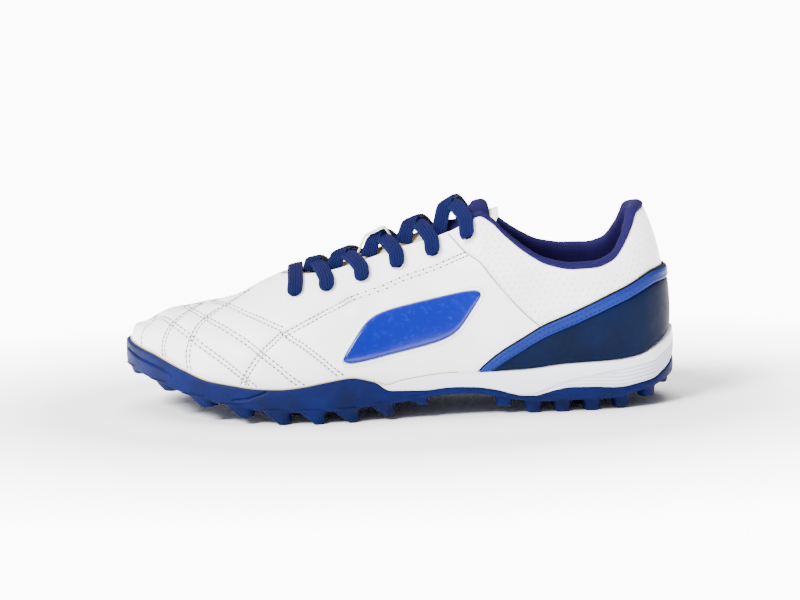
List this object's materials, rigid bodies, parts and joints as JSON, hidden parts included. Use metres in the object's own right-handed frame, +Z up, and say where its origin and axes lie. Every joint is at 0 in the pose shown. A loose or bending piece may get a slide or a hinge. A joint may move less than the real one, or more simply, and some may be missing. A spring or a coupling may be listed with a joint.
{
  "type": "football shoe",
  "caption": "Low turf football shoe, left: hollow laced upper on a foam wedge and a lugged rubber outsole, worn on the foot for grip on artificial turf.",
  "frame": {"origin": "middle of the length and width, on the floor under the lugs", "axes": "+X from toe to heel along the length, +Y towards the inner side of the foot, +Z up"},
  "size_m": [0.285, 0.1032, 0.1085],
  "materials": {
    "outsole": "satin blue rubber",
    "midsole": "matte white foam",
    "insole": "purple-blue cloth",
    "upper": "soft white synthetic leather",
    "collar": "purple-blue knit over padding",
    "heel_counter": "navy synthetic leather",
    "counter_trim": "light blue band",
    "side_panel": "glossy blue",
    "tongue": "padded white synthetic leather",
    "tongue_loop": "white webbing",
    "laces": "flat blue lace"
  },
  "bodies": {
    "root": {"outsole": "outsole", "midsole": "midsole", "insole": "insole", "upper": "upper", "collar": "collar", "heel_counter": "heel_counter", "counter_trim": "counter_trim", "side_panel_outer": "side_panel", "side_panel_inner": "side_panel", "tongue": "tongue", "tongue_loop": "tongue_loop", "lace_bar": "laces", "lace_cross_1": "laces", "lace_cross_2": "laces", "lace_cross_3": "laces", "lace_cross_4": "laces", "lace_cross_5": "laces"}
  },
  "joints": []
}
